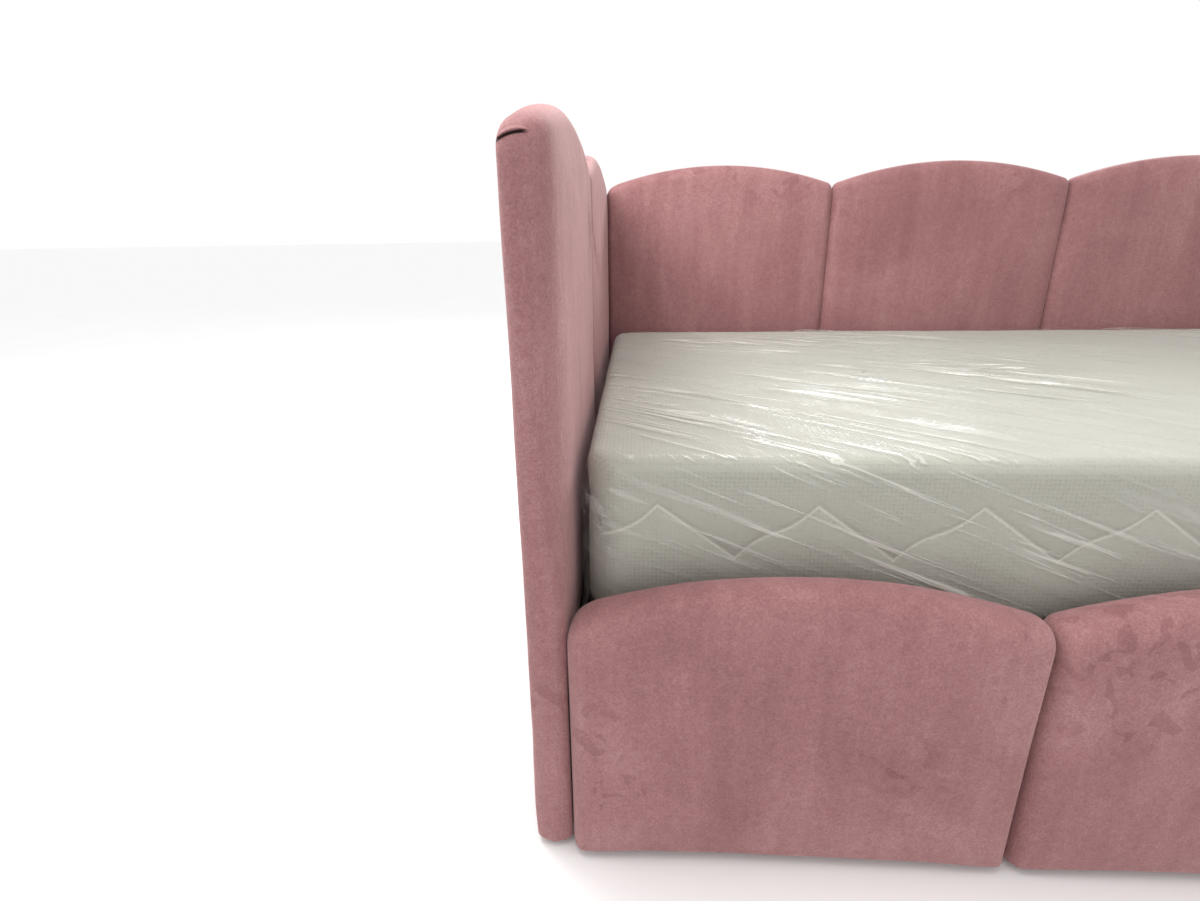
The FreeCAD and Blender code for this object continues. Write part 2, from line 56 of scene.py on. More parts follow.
LOBE_RISE = 0.044           # a lobe's peak above its corners
BOARD_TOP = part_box("box_rear_board")[1][2]
PAD_HEM = 0.012             # how fast the inner padding ends above the storage boards
ROLL_STARTS = (0.31, 0.43)  # heights over which an end panel's front edge turns soft
SEAM = 0.016                # rim radius where two lobes are sewn together
SEAM_CORNER = 0.012         # radius of the notch between two scallops, seen from the front
SEAM_COVER = 0.0026         # velvet and wadding left over the board at a seam
SEAM_WALL = 0.00003         # width of the steep first row at a seam
GRID = 0.012                # spacing of the cloth meshes
RIM_STEPS = 6               # grid rows round each rim
RIM_POWER = 2.1             # a rim's outline: 2 is a quarter circle, more is squarer
FOOT_POWER = 3.2
SAME = 1e-9                 # smaller differences count as none

HAND_MARKS = (              # where the pile is brushed into petals, and how far round it
    ((-0.985, -0.522, 0.190), 0.050), ((-0.965, -0.522, 0.100), 0.050),
    ((-0.655, -0.522, 0.165), 0.055), ((-1.045, -0.508, 0.215), 0.035))
TUCK_ENDS = (-1.0615, -1.037)       # x of a slit near the top of the left panel's front edge
TUCK_HEIGHT = 0.7985        # its height at the inner end
TUCK_DROP = 0.0085          # how far it has curved down after TUCK_REACH
TUCK_REACH = 0.029
TUCK_SLIT = 0.0010          # half its width
TUCK_FRONT = -0.475         # it lies in front of this y
TUCK_FADE = 0.003           # and fades out over this length at its inner end
TUCK_PROFILE = (            # the lip in section: height above the slit, distance off the panel
    (0.0075, -0.0004), (0.0050, 0.0003), (0.0028, 0.0011), (0.0014, 0.0019),
    (0.0005, 0.0021), (0.0002, 0.0012), (0.0008, -0.0012))
PUCKERS = (                 # y, z, half length, slope in degrees and depth of small dents
    (-0.075, 0.706, 0.045, -62, 0.0038), (-0.035, 0.690, 0.050, -58, 0.0042),
    (0.055, 0.672, 0.050, -48, 0.0040), (0.110, 0.655, 0.045, -40, 0.0032),
    (-0.110, 0.722, 0.035, -66, 0.0028))
PUCKER_WIDTH = 0.007

MATTRESS_RADIUS = 0.045     # its corners seen from above
MATTRESS_EDGE = 0.018       # its top and bottom edges
EDGE_STEPS = 8              # mesh rings round such an edge
QUILT_PITCH = 0.175         # the zigzag stitched round the mattress border
QUILT_START = -0.833        # where one of its low points lies
QUILT_LOW = 0.366
QUILT_END_STRIP = 0.015     # the zigzag runs along y this near the mattress ends, else along x
QUILT_RISE = 0.064
QUILT_BOW = 0.07            # how much its rising stretches bend, as a share of its rise
QUILT_SLOPE = 0.8           # turns an upright distance from it into one square to it
TOP_QUILT = 0.21            # spacing of the crossing lines quilted over the top
FILM_LIFT = 0.0012          # the film's height above the knit where it lies flat
FILM_UNDER = 0.16           # how far the film reaches under the mattress
STREAK_LIMIT = 0.0065       # the film's tallest crease
STREAK_FANS = (             # where the film is gathered, and the angles its creases spread over
    ((-1.05, 0.40), (-34, -8)), ((-1.08, 0.20), (-48, -14)), ((-1.08, 0.04), (-60, -20)),
    ((-0.72, 0.52), (-62, -24)), ((-0.10, 0.55), (-60, -20)), ((0.55, 0.52), (-64, -22)),
    ((0.95, 0.40), (-100, -60)))
FAN_STREAKS = 46            # creases in one fan
SIDE_STREAKS = 70           # creases on one side of the mattress

SEED = 7                    # every random draw starts from it


# ---- meshes -------------------------------------------------------------------------------------

def new_object(name, points, faces):
    """A smooth-shaded mesh object with its face normals outward."""
    mesh = bpy.data.meshes.new(name)
    mesh.from_pydata([tuple(map(float, p)) for p in points], [], faces)
    mesh.validate()
    tidy = bmesh.new()
    tidy.from_mesh(mesh)
    bmesh.ops.recalc_face_normals(tidy, faces=tidy.faces)
    tidy.to_mesh(mesh)
    tidy.free()
    piece = bpy.data.objects.new(name, mesh)
    bpy.context.scene.collection.objects.link(piece)
    mesh.polygons.foreach_set("use_smooth", [True] * len(mesh.polygons))
    return piece


def points_of(mesh):
    flat = np.empty(len(mesh.vertices) * 3)
    mesh.vertices.foreach_get("co", flat)
    return flat.reshape(-1, 3)


def normals_of(mesh):
    flat = np.empty(len(mesh.vertices) * 3)
    mesh.vertex_normals.foreach_get("vector", flat)
    return flat.reshape(-1, 3)


def set_points(mesh, points):
    mesh.vertices.foreach_set("co", np.asarray(points, float).ravel())
    mesh.update()


def subdivide(piece):
    """One smoothing subdivision, applied to the mesh."""
    modifier = piece.modifiers.new("smooth", "SUBSURF")
    modifier.levels = modifier.render_levels = 1
    graph = bpy.context.evaluated_depsgraph_get()
    smooth = bpy.data.meshes.new_from_object(piece.evaluated_get(graph))
    piece.modifiers.remove(modifier)
    old = piece.data
    piece.data = smooth
    bpy.data.meshes.remove(old)
    smooth.polygons.foreach_set("use_smooth", [True] * len(smooth.polygons))


def smooth_step(low, high, x):
    """0 below `low`, 1 above `high`, and an S-curve between."""
    t = np.clip((x - low) / (high - low), 0.0, 1.0)
    return t * t * (3 - 2 * t)


class Waves:
    """Smooth repeatable unevenness: a sum of plane waves with fixed random directions."""

    def __init__(self, seed, size, count=14):
        draw = np.random.default_rng(seed)
        self.step = draw.normal(size=(count, 3)) * (2 * math.pi / size) / 1.7
        self.phase = draw.uniform(0, 2 * math.pi, count)

    def __call__(self, points):
        return np.sin(points @ self.step.T + self.phase).mean(axis=1) * 1.6


def evened(mesh, moved, rounds=10, own=0.4):
    """The movement field averaged with its neighbours, so that only broad swells stay."""
    ends = np.array([edge.vertices[:] for edge in mesh.edges])
    first = np.concatenate([ends[:, 0], ends[:, 1]])
    second = np.concatenate([ends[:, 1], ends[:, 0]])
    count = np.bincount(first, minlength=len(moved))[:, None]
    for _ in range(rounds):
        total = np.zeros_like(moved)
        np.add.at(total, first, moved[second])
        moved = own * moved + (1 - own) * total / count
    return moved


def puff(piece, pins, cap, pressure=4.0, frames=20):
    """Inflates a closed cloth against its seams, then limits how far each point has moved."""
    rest = points_of(piece.data)
    group = piece.vertex_groups.new(name="seams")
    for index in np.nonzero(pins > 0.01)[0]:
        group.add([int(index)], float(pins[index]), "REPLACE")
    cloth = piece.modifiers.new("cloth", "CLOTH")
    fabric = cloth.settings
    fabric.quality = 4
    fabric.mass = 0.35
    fabric.tension_stiffness = 25
    fabric.compression_stiffness = 25
    fabric.shear_stiffness = 10
    fabric.bending_stiffness = 3
    fabric.shrink_min = -0.012
    fabric.use_pressure = True
    fabric.uniform_pressure_force = pressure
    fabric.vertex_group_mass = group.name
    fabric.effector_weights.gravity = 0
    cloth.collision_settings.use_collision = False
    scene = bpy.context.scene
    scene.frame_start = 1
    scene.frame_end = frames
    cloth.point_cache.frame_start = 1
    cloth.point_cache.frame_end = frames
    for number in range(1, frames + 1):
        scene.frame_set(number)
    graph = bpy.context.evaluated_depsgraph_get()
    blown = piece.evaluated_get(graph).to_mesh()
    moved = points_of(blown) - rest
    piece.evaluated_get(graph).to_mesh_clear()
    piece.modifiers.remove(cloth)
    piece.vertex_groups.remove(group)
    scene.frame_set(1)
    length = np.linalg.norm(moved, axis=1, keepdims=True)
    moved = moved * cap * np.tanh(length / cap) / np.maximum(length, SAME)
    set_points(piece.data, rest + evened(piece.data, moved))


# ---- materials ----------------------------------------------------------------------------------

class Shader:
    """One node material, with short calls for procedural detail in object coordinates."""

    def __init__(self, name, roughness=0.5, **inputs):
        self.material = bpy.data.materials.new(name)
        self.material.use_nodes = True
        self.tree = self.material.node_tree
        self.bsdf = self.tree.nodes["Principled BSDF"]
        self.place = self.tree.nodes.new("ShaderNodeTexCoord").outputs["Object"]
        self.set("Roughness", roughness)
        for key, value in inputs.items():
            self.set(key.replace("_", " "), value)

    def set(self, socket, value):
        self.bsdf.inputs[socket].default_value = value

    def link(self, output, socket):
        self.tree.links.new(output, self.bsdf.inputs[socket])

    def node(self, kind, inputs=(), **settings):
        made = self.tree.nodes.new(kind)
        for key, value in settings.items():
            setattr(made, key, value)
        for key, value in dict(inputs).items():
            if isinstance(value, bpy.types.NodeSocket):
                self.tree.links.new(value, made.inputs[key])
            else:
                made.inputs[key].default_value = value
        return made

    def mapped(self, scale=(1, 1, 1), turn=(0, 0, 0)):
        """Object coordinates, turned first and then stretched."""
        turned = self.node("ShaderNodeMapping", {"Vector": self.place, "Rotation": turn})
        inputs = {"Vector": turned.outputs["Vector"], "Scale": scale}
        return self.node("ShaderNodeMapping", inputs).outputs["Vector"]

    def axes(self):
        parts = self.node("ShaderNodeSeparateXYZ", {"Vector": self.place}).outputs
        return parts["X"], parts["Y"], parts["Z"]

    def noise(self, scale, detail=3.0, roughness=0.5, distortion=0.0, vector=None):
        inputs = {"Vector": vector or self.place, "Scale": scale, "Detail": detail,
                  "Roughness": roughness, "Distortion": distortion}
        return self.node("ShaderNodeTexNoise", inputs).outputs["Fac"]

    def cells(self, scale, randomness=1.0, vector=None):
        inputs = {"Vector": vector or self.place, "Scale": scale, "Randomness": randomness}
        return self.node("ShaderNodeTexVoronoi", inputs).outputs["Distance"]

    def math(self, operation, first, second=0.0):
        return self.node("ShaderNodeMath", {0: first, 1: second},
                         operation=operation).outputs[0]

    def range(self, value, low, high, to_low=0.0, to_high=1.0):
        inputs = {"Value": value, "From Min": low, "From Max": high,
                  "To Min": to_low, "To Max": to_high}
        return self.node("ShaderNodeMapRange", inputs).outputs["Result"]

    def mix(self, factor, first, second):
        made = self.node("ShaderNodeMix", data_type="RGBA")
        for index, value in ((0, factor), (6, first), (7, second)):
            if isinstance(value, bpy.types.NodeSocket):
                self.tree.links.new(value, made.inputs[index])
            else:
                made.inputs[index].default_value = value
        return made.outputs[2]

    def bump(self, height, strength, distance, under=None):
        inputs = {"Height": height, "Strength": strength, "Distance": distance}
        if under is not None:
            inputs["Normal"] = under
        return self.node("ShaderNodeBump", inputs).outputs["Normal"]


def srgb(red, green, blue):
    """A linear colour from 0-255 screen values."""
    def linear(value):
        value /= 255
        return value / 12.92 if value <= 0.04045 else ((value + 0.055) / 1.055) ** 2.4
    return linear(red), linear(green), linear(blue), 1.0


def velvet():
    """Short pile velvet: grain, brushed clouds, finger marks, a pale sheen at grazing angles, and
    painted near-black shade in one slit.
    """
    shader = Shader("pink_velvet", roughness=0.85, Sheen_Weight=0.32, Sheen_Roughness=0.42,
                    Sheen_Tint=(0.99, 0.74, 0.73, 1), Specular_IOR_Level=0.12)
    grain = shader.noise(420, 4, 0.7)
    mottle = shader.noise(95, 5, 0.65, 0.4)
    cloud = shader.noise(4.2, 4, 0.55, 0.8)
    brushed = shader.noise(1.0, 4, 0.6, 0.5, shader.mapped((26, 26, 3.2)))
    wipe_field = shader.noise(24, 2, 0.4, 1.4)
    wipe_edge = shader.range(wipe_field, 0.560, 0.585)
    wipe_here = shader.range(shader.noise(3.4, 2, 0.5), 0.56, 0.68)
    for spot, reach in HAND_MARKS:
        offset = shader.node("ShaderNodeVectorMath", {0: shader.place, 1: spot},
                             operation="DISTANCE").outputs["Value"]
        near = shader.range(offset, reach * 0.55, reach, 1.0, 0.0)
        wipe_here = shader.math("MAXIMUM", wipe_here, near)
    wipes = shader.math("MULTIPLY", wipe_edge, wipe_here)
    tone = shader.math("MULTIPLY", wipes, -0.10)
    for part, share in ((grain, 0.56), (mottle, 0.24), (cloud, 0.38), (brushed, 0.26)):
        tone = shader.math("ADD", tone, shader.math("MULTIPLY", part, share))
    dark, body, light = srgb(124, 83, 85), srgb(154, 110, 111), srgb(186, 145, 144)
    low = shader.mix(shader.range(tone, 0.46, 0.72), dark, body)
    colour = shader.mix(shader.range(tone, 0.72, 1.00), low, light)
    tuck = slit_shade_mask(shader)
    # painted shade: the slit is coloured near-black to stand for the shade inside it
    shader.link(shader.mix(tuck, colour, srgb(34, 16, 17)), "Base Color")
    pile = shader.bump(grain, 0.35, 0.0012)
    shader.link(shader.bump(mottle, 0.25, 0.004, pile), "Normal")
    return shader.material


def slit_shade_mask(shader):
    """1 inside the small folded slit near the top of the left panel's front edge, where the velvet
    is painted near-black as the shade in its recess.
    """
    x, y, z = shader.axes()
    run = shader.math("DIVIDE", shader.math("SUBTRACT", x, TUCK_ENDS[1]), TUCK_REACH)
    square = shader.math("MULTIPLY", run, run)
    line = shader.math("SUBTRACT", TUCK_HEIGHT, shader.math("MULTIPLY", square, TUCK_DROP))
    gap = shader.math("ABSOLUTE", shader.math("SUBTRACT", z, line))
    slit = shader.range(gap, TUCK_SLIT, TUCK_SLIT * 2, 1.0, 0.0)
    at_left = shader.range(x, TUCK_ENDS[1] - TUCK_FADE, TUCK_ENDS[1] + TUCK_FADE, 1.0, 0.0)
    at_front = shader.math("LESS_THAN", y, TUCK_FRONT)
    return shader.math("MULTIPLY", shader.math("MULTIPLY", slit, at_left), at_front)


def knit():
    """Off-white knit ticking with small regular dimples."""
    shader = Shader("mattress_knit", roughness=0.9, Sheen_Weight=0.15)
    dots = shader.cells(205, 0.25)
    yarn = shader.noise(700, 2, 0.6)
    shade = shader.noise(7, 3, 0.5)
    pale = shader.mix(shade, srgb(166, 165, 153), srgb(182, 181, 170))
    colour = shader.mix(shader.range(dots, 0.05, 0.45, 0.38, 0.0), pale, srgb(130, 129, 118))
    stitch = quilt_stitches(shader)
    colour = shader.mix(shader.range(stitch, 0.0, 0.0026, 0.55, 0.0), colour, srgb(228, 226, 216))
    shader.link(colour, "Base Color")
    weave = shader.bump(yarn, 0.2, 0.0006)
    dimples = shader.bump(dots, 0.35, 0.0016, weave)
    groove = shader.range(stitch, 0.0012, 0.006)
    shader.link(shader.bump(groove, 0.4, 0.0025, dimples), "Normal")
    return shader.material


def quilt_stitches(shader):
    """Distance, in metres, from the zigzag line stitched round the mattress border."""
    x, y, z = shader.axes()
    end_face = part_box("mattress")[1][0] - QUILT_END_STRIP
    at_end = shader.math("GREATER_THAN", shader.math("ABSOLUTE", x), end_face)
    on_side = shader.math("SUBTRACT", 1.0, at_end)
    along = shader.math("ADD", shader.math("MULTIPLY", x, on_side),
                        shader.math("MULTIPLY", y, at_end))
    turns = shader.math("DIVIDE", shader.math("SUBTRACT", along, QUILT_START), QUILT_PITCH)
    share = shader.math("FRACT", turns)
    rise = shader.math("MULTIPLY", share, 2.0)
    bow = shader.math("SINE", shader.math("MULTIPLY", rise, 2 * math.pi))
    curved = shader.math("ADD", rise, shader.math("MULTIPLY", bow, QUILT_BOW))
    straight = shader.math("SUBTRACT", 2.0, rise)
    falling = shader.math("GREATER_THAN", share, 0.5)
    rising = shader.math("SUBTRACT", 1.0, falling)
    height = shader.math("ADD", shader.math("MULTIPLY", straight, falling),
                         shader.math("MULTIPLY", curved, rising))
    line = shader.math("ADD", shader.math("MULTIPLY", height, QUILT_RISE), QUILT_LOW)
    upright = shader.math("ABSOLUTE", shader.math("SUBTRACT", z, line))
    return shader.math("MULTIPLY", upright, QUILT_SLOPE)


def film():
    """Clear polythene with fine tension lines, whose crests carry a painted white highlight: more
    opacity and a near-white colour.
    """
    shader = Shader("clear_film", roughness=0.17, Specular_IOR_Level=1.0)
    x, y, z = shader.axes()
    on_top = shader.range(z, 0.478, 0.484)
    slant = shader.range(y, -0.45, 0.45, math.radians(46), math.radians(27))
    fan = shader.node("ShaderNodeCombineXYZ", {"Z": slant}).outputs["Vector"]
    top_lines = shader.noise(1.0, 3, 0.55, 0.35, shader.mapped((3.2, 105, 60), fan))
    lean = (0, math.radians(-22), 0)
    side_lines = shader.noise(1.0, 3, 0.55, 0.35, shader.mapped((4.0, 60, 85), lean))
    on_side = shader.math("SUBTRACT", 1.0, on_top)
    lines = shader.math("ADD", shader.math("MULTIPLY", top_lines, on_top),
                        shader.math("MULTIPLY", side_lines, on_side))
    patches = shader.range(shader.noise(2.6, 2, 0.5), 0.38, 0.62)
    crests = shader.math("MULTIPLY", shader.range(lines, 0.54, 0.62), patches)
    crumple = shader.noise(42, 4, 0.6, 0.8)
    # painted highlight: the crease crests get extra opacity over the film's faint base, standing in
    # for light caught on them
    film_and_highlight_alpha = shader.math("ADD", shader.math("MULTIPLY", crests, 0.50), 0.05)
    rim = shader.node("ShaderNodeLayerWeight", {"Blend": 0.35}).outputs["Facing"]
    alpha = shader.math("ADD", film_and_highlight_alpha, shader.math("MULTIPLY", rim, 0.14))
    shader.link(alpha, "Alpha")
    # painted highlight: a near-white colour on the crease crests
    shader.link(shader.mix(crests, srgb(206, 210, 208), srgb(252, 250, 240)), "Base Color")
    fine = shader.bump(lines, 1.0, 0.011)
    shader.link(shader.bump(crumple, 0.16, 0.003, fine), "Normal")
    return shader.material


def wood(name, pale, dark, along, roughness=0.55):
    """Straight-grained wood, with the grain drawn out along one axis."""
    shader = Shader(name, roughness=roughness)
    scale = [55.0, 55.0, 55.0]
    scale[along] = 2.2
    grain = shader.noise(1.0, 5, 0.6, 1.2, shader.mapped(scale))
    pores = shader.noise(1.0, 2, 0.5, 0.0, shader.mapped([s * 6 for s in scale]))
    colour = shader.mix(shader.range(grain, 0.35, 0.68), pale, dark)
    shader.link(shader.mix(shader.range(pores, 0.60, 0.75, 0, 0.5), colour, dark), "Base Color")
    shader.link(shader.range(grain, 0.3, 0.7, roughness - 0.08, roughness + 0.12), "Roughness")
    shader.link(shader.bump(grain, 0.18, 0.0006), "Normal")
    return shader.material


def chipboard(name, base, chips, scale=160):
    """Pressed wood chips of mixed tone."""
    shader = Shader(name, roughness=0.75)
    flakes = shader.cells(scale, 1.0, shader.mapped((1, 1, 1.7)))
    speck = shader.noise(scale * 2.2, 3, 0.7)
    tone = shader.math("ADD", shader.math("MULTIPLY", flakes, 0.6), speck)
    shader.link(shader.mix(shader.range(tone, 0.5, 1.1), base, chips), "Base Color")
    shader.link(shader.bump(speck, 0.25, 0.0005), "Normal")
    return shader.material


def metal(name, colour, metallic, roughness, grain=90):
    """Painted or plated steel with a faint orange-peel and handling marks."""
    shader = Shader(name, roughness=roughness, Metallic=metallic)
    peel = shader.noise(grain * 6, 2, 0.5)
    smear = shader.noise(grain * 0.25, 4, 0.6, 0.7)
    worn = [min(1.0, c * 1.35 + 0.01) for c in colour[:3]] + [1.0]
    shader.link(shader.mix(shader.range(smear, 0.45, 0.8, 0, 0.6), colour, worn), "Base Color")
    shader.link(shader.range(smear, 0.3, 0.7, roughness - 0.06, roughness + 0.10), "Roughness")
    shader.link(shader.bump(peel, 0.12, 0.0003), "Normal")
    return shader.material


def plastic(name, colour, roughness=0.5):
    """Moulded plastic with a fine spark texture."""
    shader = Shader(name, roughness=roughness)
    spark = shader.noise(900, 2, 0.6)
    tone = shader.noise(24, 3, 0.5)
    lighter = [min(1.0, c * 1.5 + 0.008) for c in colour[:3]] + [1.0]
    shader.link(shader.mix(shader.range(tone, 0.35, 0.7, 0, 0.5), colour, lighter), "Base Color")
    shader.link(shader.bump(spark, 0.15, 0.0004), "Normal")
    return shader.material


def material_table():
    """Blender materials by the record's slot names."""
    return {
        "velvet": velvet(),
        "mattress_knit": knit(),
        "clear_film": film(),
        "core_board": chipboard("core_board", srgb(196, 166, 122), srgb(150, 116, 76)),
        "box_board": chipboard("box_board", srgb(138, 130, 120), srgb(122, 114, 104), 420),
        "sawn_wood": wood("sawn_wood", srgb(214, 184, 136), srgb(176, 138, 90), 0),
        "beech": wood("beech_slat", srgb(222, 188, 146), srgb(190, 148, 104), 1, 0.42),
        "rubber": plastic("buffer_rubber", srgb(40, 40, 41), 0.8),
        "glide_plastic": plastic("glide_plastic", srgb(44, 43, 43)),
        "holder_plastic": plastic("holder_plastic", srgb(52, 52, 54)),
        "zinc_steel": metal("zinc_steel", srgb(190, 192, 194), 1.0, 0.34),
        "lift_steel": metal("lift_steel", srgb(58, 59, 62), 0.6, 0.42),
        "frame_steel": metal("frame_steel", srgb(108, 110, 113), 0.5, 0.45),
        "strut_black": metal("strut_black", srgb(28, 28, 30), 0.3, 0.28),
        "strut_chrome": metal("strut_chrome", srgb(214, 216, 218), 1.0, 0.10),
    }


def dress_cad_nodes(table):
    """Gives every carried-over CAD node the material of its slot in the record."""
    slots = {entry["node"]: entry["material_slot"] for entry in frame["record"]["subparts"]}
    for name, node in frame["nodes"].items():
        node.data.materials.clear()
        node.data.materials.append(table[slots[name]])


# ---- velvet lobes -------------------------------------------------------------------------------

class Side:
    """How one panel's own directions lie in the bed: u along it, w inward, z up."""

    def __init__(self, along, inward):
        self.along = along          # 0 when the panel runs along X, 1 along Y
        self.inward = inward        # +1 or -1: towards the mattress on the other axis

    def world(self, u, w, z):
        points = np.empty((len(u), 3))
        points[:, self.along] = u
        points[:, 1 - self.along] = w * self.inward
        points[:, 2] = z
        return points

    def extent(self, node):
        """u range, outer and inner face as inward distances, and z range of a CAD node."""
        low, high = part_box(node)
        u = (low[self.along], high[self.along])
        w = sorted(self.inward * end[1 - self.along] for end in (low, high))
        return u, w, (low[2], high[2])


def rounded(distance, radius, power=2.4):
    """0 at a rim, rising to 1 one radius in, like the edge of a stuffed pad."""
    q = 1 - np.clip(distance / radius, 0, 1)
    return (1 - q ** power) ** (1 / power)


def stops(low, high, low_radius, high_radius, spacing):
    """Grid lines from low to high, crowded at both rims."""
    angle = np.linspace(0, math.pi / 2, RIM_STEPS + 1)
    rim = 1 - np.cos(angle)
    inner_low, inner_high = low + low_radius, high - high_radius
    count = max(2, int(round((inner_high - inner_low) / spacing)))
    middle = np.linspace(inner_low, inner_high, count + 1)[1:-1]
    return np.concatenate([low + rim * low_radius, middle, (high - rim * high_radius)[::-1]])


def lobe_columns(low, high, low_radius, high_radius):
    """Grid lines across a lobe, with a steep first row at an end that is sewn to the next one."""
    us = stops(low, high, low_radius, high_radius, GRID)
    if low_radius == SEAM:
        us = np.insert(us, 1, low + SEAM_WALL)
    if high_radius == SEAM:
        us = np.insert(us, -1, high - SEAM_WALL)
    return us


def scallop(u, low, high, peak):
    """Height of the arc that peaks in a lobe's middle and is LOBE_RISE lower at its ends."""
    middle, half = (low + high) / 2, (high - low) / 2
    arc = (half ** 2 + LOBE_RISE ** 2) / (2 * LOBE_RISE)
    return peak - arc + np.sqrt(arc ** 2 - (u - middle) ** 2)


def sleeve_faces(columns, rows):
    """Quads of an outer and an inner face that share their rim.

    Also gives the grid points off the rim, which the inner face has again, after all others.
    """
    rim = np.zeros((columns, rows), bool)
    rim[0, :] = rim[-1, :] = rim[:, 0] = rim[:, -1] = True
    inside = np.nonzero(~rim.ravel())[0]
    outer = np.arange(columns * rows)
    inner = outer.copy()
    inner[inside] = columns * rows + np.arange(len(inside))
    outer = outer.reshape(columns, rows).tolist()
    inner = inner.reshape(columns, rows).tolist()
    faces = []
    for i in range(columns - 1):
        for j in range(rows - 1):
            faces.append((outer[i][j], outer[i + 1][j], outer[i + 1][j + 1], outer[i][j + 1]))
            faces.append((inner[i][j], inner[i][j + 1], inner[i + 1][j + 1], inner[i + 1][j]))
    return faces, inside


def keep_board_covered(name, side, ends, z, arc_top, top, foot, w_outer, w_inner):
    """At a sewn seam both faces dip only as far as the panel's board."""
    board_out, board_in = side.extent(name.split("_lobe")[0] + "_core_board")[1]
    inner = side.extent(name)[1][1]
    over_board = z < arc_top - (inner - board_in) + SEAM_COVER
    notch_depth = 0.002
    for distance, radius in ends:
        if radius == SEAM:
            off_rim = (distance > 1e-6) & (z > foot) & (z < top - notch_depth)
            held = over_board & (distance < radius * 2) & off_rim
            w_inner = np.where(held, np.maximum(w_inner, board_in + SEAM_COVER), w_inner)
            w_outer = np.where(held, np.minimum(w_outer, board_out - SEAM_COVER), w_outer)
    return w_outer, w_inner, board_in


def make_lobe(name, side, radii, board, cap, corner_radius, rolled, swell):
    """A stuffed sleeve: two faces that meet at rounded rims, under a rounded scalloped top.

    radii: rim radius at the low-u end, the high-u end, the top and the bottom.
    board: u range where a storage board lies against the inner face, below its top.
    cap: how far the cloth may move when it is inflated.
    corner_radius: of the top's corner at a free end, seen from the front.
    rolled: how far the inner face rolls over at each u end, when that is more than the rim.
    swell: how far each u end presses out towards the panel beside it.
    """
    (u0, u1), (outer, inner), (z0, z1) = side.extent(name)
    u0, u1 = u0 - swell[0], u1 + swell[1]
    low_r, high_r, top_r, bottom_r = radii
    foot = z0 + bottom_r

    # a grid over the lobe's front view: u across, z up under the scallop
    us = lobe_columns(u0, u1, low_r, high_r)
    vs = stops(z0, z1, bottom_r, top_r, GRID)
    crest = scallop(us, u0, u1, z1)
    for distance, radius in ((us - u0, low_r), (u1 - us, high_r)):
        corner = SEAM_CORNER if radius == SEAM else corner_radius
        reach = np.clip(distance, 0, corner)
        crest = crest - corner + np.sqrt(corner ** 2 - (corner - reach) ** 2)
    u = np.repeat(us, len(vs))
    top = np.repeat(crest, len(vs))
    v = np.tile(vs, len(us))
    share = np.clip((v - z0 - bottom_r) / (z1 - top_r - z0 - bottom_r), 0, 1)
    z = z0 + bottom_r + share * (top - top_r - z0 - bottom_r)
    z = np.where(v > z1 - top_r - SAME, top - (z1 - v), z)
    z = np.where(v < foot + SAME, v, z)

    # both faces fall to the rim, and the inner one may roll over from further in
    ends = ((u - u0, low_r), (u1 - u, high_r))
    upright = rounded(top - z, top_r) * rounded(z - z0, bottom_r, FOOT_POWER)
    fall = rounded(ends[0][0], low_r, RIM_POWER) * rounded(ends[1][0], high_r, RIM_POWER)
    fall = fall * upright
    free = smooth_step(*ROLL_STARTS, z)
    roll = upright.copy()
    rim_share = np.full(len(u), 0.5)        # where between the faces the rim lies
    rim_shift, shift_reach = 0.18, 0.05     # and how it moves outward at a rolled end
    for (distance, rim), reach in zip(ends, rolled):
        tight = rounded(distance, rim, RIM_POWER)
        loose = rounded(distance, max(rim, reach), RIM_POWER) if reach else tight
        roll *= tight + (loose - tight) * free
        near = 1 - smooth_step(0.0, shift_reach, distance)
        rim_share -= rim_shift * near * free * (reach > 0)
    centre = outer + (inner - outer) * rim_share
    w_outer = centre - (centre - outer) * fall
    w_inner = centre + (inner - centre) * roll
    w_outer, w_inner, board_in = keep_board_covered(
        name, side, ends, z, scallop(u, u0, u1, z1), top, foot, w_outer, w_inner)

    # below the storage board's top the inner face stays behind the panel's own board
    tucked_in = board_in - 0.0006
    below = 1 - smooth_step(BOARD_TOP, BOARD_TOP + PAD_HEM, z)
    behind = below * smooth_step(board[0] - PAD_HEM, board[0], u)
    behind = behind * (1 - smooth_step(board[1], board[1] + PAD_HEM, u))
    hidden = np.minimum(w_inner, tucked_in * behind + w_inner * (1 - behind))
    w_inner = np.where(behind > 0, hidden, w_inner)

    faces, inside = sleeve_faces(len(us), len(vs))
    points = np.vstack([side.world(u, w_outer, z),
                        side.world(u[inside], w_inner[inside], z[inside])])
    piece = new_object("velvet_" + name, points, faces)

    fall = np.concatenate([fall, fall[inside]])
    tucked = np.concatenate([np.zeros(len(u)), behind[inside]])
    pinned_rim, pinned_tuck = 0.25, 0.02
    pins = np.where((1 - fall > pinned_rim) | (tucked > pinned_tuck), 1.0, 0.0)
    puff(piece, pins, cap)
    return piece, fall, tucked


def roughen(piece, fall, tucked, seed):
    """Hand-stuffed unevenness on the faces, which dies out at the rims and behind the boards."""
    points = points_of(piece.data)
    normals = normals_of(piece.data)
    soft = Waves(seed, 0.34)(points) * 0.0012 + Waves(seed + 50, 0.11)(points) * 0.00035
    held = np.clip(fall * 1.4 - 0.4, 0, 1) * (1 - tucked)
    set_points(piece.data, points + normals * (soft * held)[:, None])


